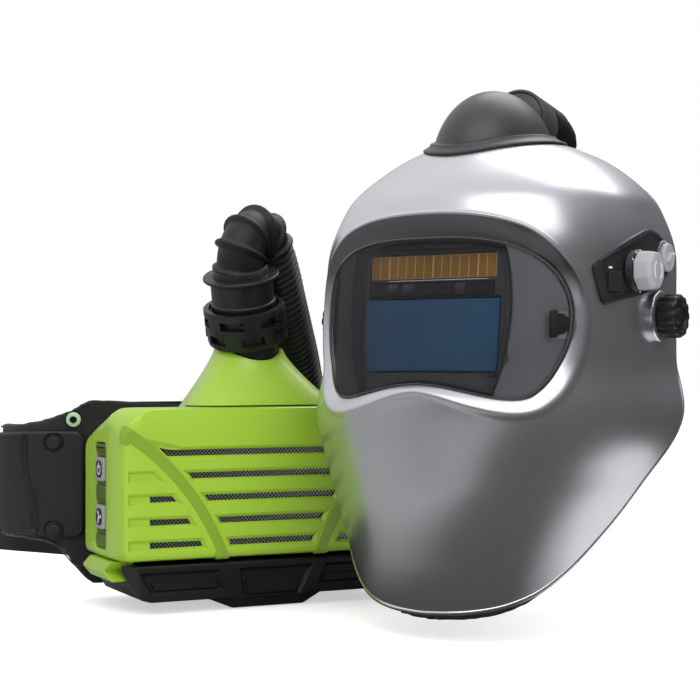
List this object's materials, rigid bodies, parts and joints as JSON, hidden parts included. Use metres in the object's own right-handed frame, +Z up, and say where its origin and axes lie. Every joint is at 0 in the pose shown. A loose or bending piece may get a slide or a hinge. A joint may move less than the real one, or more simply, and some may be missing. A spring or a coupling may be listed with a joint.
{
  "type": "powered air respirator",
  "caption": "Belt-worn powered air respirator: louvred blower unit with battery and hip belt, breathing hose and a welding helmet with visor, filter and air duct.",
  "frame": {"origin": "on the floor under the middle of the object's own box, the free hose left out", "axes": "+Z up; -Y is the way the blower's louvred front faces; +X runs along the blower towards its right end as seen from the front"},
  "size_m": [0.3954, 0.5616, 0.358],
  "materials": {
    "green_plastic": "glossy lime green",
    "dark_green_plastic": "satin dark green",
    "black_plastic": "fine grained black",
    "dark_grey_plastic": "satin dark grey",
    "rubber": "ribbed matt black",
    "black_fabric": "coarse black cloth",
    "silver_shell": "satin metallic silver",
    "steel": "brushed",
    "light_grey_plastic": "satin light grey",
    "filter_media": "white felt",
    "circuit_board": "green board",
    "motor_can": "plain",
    "solar_cells": "glossy amber brown",
    "filter_glass": "dark blue, polished",
    "clear_lens": "smoked, polished"
  },
  "bodies": {
    "unit": {"rear_housing": "green_plastic", "front_cover": "green_plastic", "spark_mesh": "steel", "prefilter": "filter_media", "particle_filter": "filter_media", "fan_scroll": "black_plastic", "motor": "motor_can", "circuit_board": "circuit_board", "keypad_frame": "dark_green_plastic", "outlet_cone": "green_plastic", "back_pad": "black_fabric", "belt_plate": "black_plastic", "hip_wing_left": "dark_grey_plastic", "webbing_left": "black_fabric", "grommet_left": "steel", "stud_left_upper": "steel", "stud_left_lower": "steel", "hip_wing_right": "dark_grey_plastic", "webbing_right": "black_fabric", "grommet_right": "steel", "stud_right_upper": "steel", "stud_right_lower": "steel", "buckle_socket": "black_plastic", "buckle_plug": "black_plastic", "filter_frame": "dark_grey_plastic", "filter_cartridge": "black_plastic", "filter_glass": "filter_glass", "solar_panel": "solar_cells", "helmet_shell": "silver_shell", "duct_cap": "black_plastic", "air_channel": "dark_grey_plastic", "cover_lens": "clear_lens", "lens_gasket": "rubber", "side_panel": "dark_grey_plastic", "face_seal": "black_fabric", "breathing_hose": "rubber"},
    "impeller": {"impeller": "dark_grey_plastic", "motor_shaft": "steel"},
    "battery": {"battery_pack": "black_plastic"},
    "battery_latch_left": {"battery_latch_left": "green_plastic"},
    "battery_latch_right": {"battery_latch_right": "green_plastic"},
    "power_button": {"power_button": "light_grey_plastic"},
    "speed_button": {"speed_button": "light_grey_plastic"},
    "hose_swivel": {"ball_swivel": "black_plastic", "hose_cuff_lower": "black_plastic"},
    "bayonet_ring": {"bayonet_ring": "black_plastic"},
    "helmet_cuff": {"hose_cuff_upper": "black_plastic"},
    "headgear": {"headband": "dark_grey_plastic", "crown_strap_front": "dark_grey_plastic", "crown_strap_rear": "dark_grey_plastic", "sweatband": "black_fabric", "pivot_bolt_left": "black_plastic", "pivot_bolt_right": "black_plastic"},
    "ratchet_knob": {"ratchet_knob": "black_plastic"},
    "tilt_knob_left": {"tilt_knob_left": "black_plastic"},
    "tilt_knob_right": {"tilt_knob_right": "black_plastic"},
    "shade_knob": {"shade_knob": "black_plastic"},
    "sensitivity_dial": {"sensitivity_dial": "light_grey_plastic"},
    "mode_slider": {"mode_slider": "light_grey_plastic"},
    "lens_tab": {"lens_tab": "black_plastic"}
  },
  "joints": [
    {"name": "impeller_spin", "type": "hinge", "parent": "unit", "child": "impeller", "pos_m": [-0.03728, 0.02184, 0.082], "axis": [0, 1, 0], "continuous": true},
    {"name": "battery_slide", "type": "slide", "parent": "unit", "child": "battery", "axis": [0, 0, -1], "range_m": [0, 0.045]},
    {"name": "battery_latch_left_press", "type": "slide", "parent": "battery", "child": "battery_latch_left", "axis": [1, 0, 0], "range_m": [0, 0.0024], "stiffness_N_per_m": 900},
    {"name": "battery_latch_right_press", "type": "slide", "parent": "battery", "child": "battery_latch_right", "axis": [-1, 0, 0], "range_m": [0, 0.0024], "stiffness_N_per_m": 900},
    {"name": "power_button_press", "type": "slide", "parent": "unit", "child": "power_button", "axis": [1, 0, 0], "range_m": [0, 0.0015], "stiffness_N_per_m": 500},
    {"name": "speed_button_press", "type": "slide", "parent": "unit", "child": "speed_button", "axis": [1, 0, 0], "range_m": [0, 0.0015], "stiffness_N_per_m": 500},
    {"name": "hose_swivel_turn", "type": "hinge", "parent": "unit", "child": "hose_swivel", "pos_m": [-0.03728, 0.01184, 0.178], "axis": [-0.213, -0.277, 0.937], "range_deg": [-60, 60]},
    {"name": "bayonet_ring_turn", "type": "hinge", "parent": "hose_swivel", "child": "bayonet_ring", "pos_m": [-0.03728, 0.01184, 0.178], "axis": [-0.213, -0.277, 0.937], "range_deg": [0, 45]},
    {"name": "helmet_cuff_turn", "type": "hinge", "parent": "unit", "child": "helmet_cuff", "pos_m": [0.11858, -0.12391, 0.3326], "axis": [0.7964, 0.5963, -0.101], "range_deg": [-60, 60]},
    {"name": "headgear_tilt", "type": "hinge", "parent": "unit", "child": "headgear", "pos_m": [0.07144, -0.15224, 0.1996], "axis": [0.515, -0.8572, 0], "range_deg": [0, 40]},
    {"name": "ratchet_turn", "type": "hinge", "parent": "headgear", "child": "ratchet_knob", "pos_m": [0.17858, -0.08786, 0.1846], "axis": [0.8572, 0.515, 0], "continuous": true},
    {"name": "tilt_knob_left_turn", "type": "hinge", "parent": "unit", "child": "tilt_knob_left", "pos_m": [0.1353, -0.25852, 0.1996], "axis": [0.515, -0.8572, 0], "continuous": true},
    {"name": "tilt_knob_right_turn", "type": "hinge", "parent": "unit", "child": "tilt_knob_right", "pos_m": [0.00757, -0.04595, 0.1996], "axis": [-0.515, 0.8572, 0], "continuous": true},
    {"name": "shade_knob_turn", "type": "hinge", "parent": "unit", "child": "shade_knob", "pos_m": [0.10924, -0.26952, 0.2266], "axis": [0.515, -0.8572, 0], "range_deg": [-140, 140]},
    {"name": "sensitivity_turn", "type": "hinge", "parent": "unit", "child": "sensitivity_dial", "pos_m": [0.13821, -0.24978, 0.2366], "axis": [0.515, -0.8572, 0], "range_deg": [-135, 135]},
    {"name": "mode_slider_slide", "type": "slide", "parent": "unit", "child": "mode_slider", "axis": [0, 0, 1], "range_m": [-0.002, 0.002]},
    {"name": "lens_tab_press", "type": "slide", "parent": "unit", "child": "lens_tab", "axis": [0.2824, 0.9544, -0.097], "range_m": [0, 0.001], "stiffness_N_per_m": 600}
  ]
}
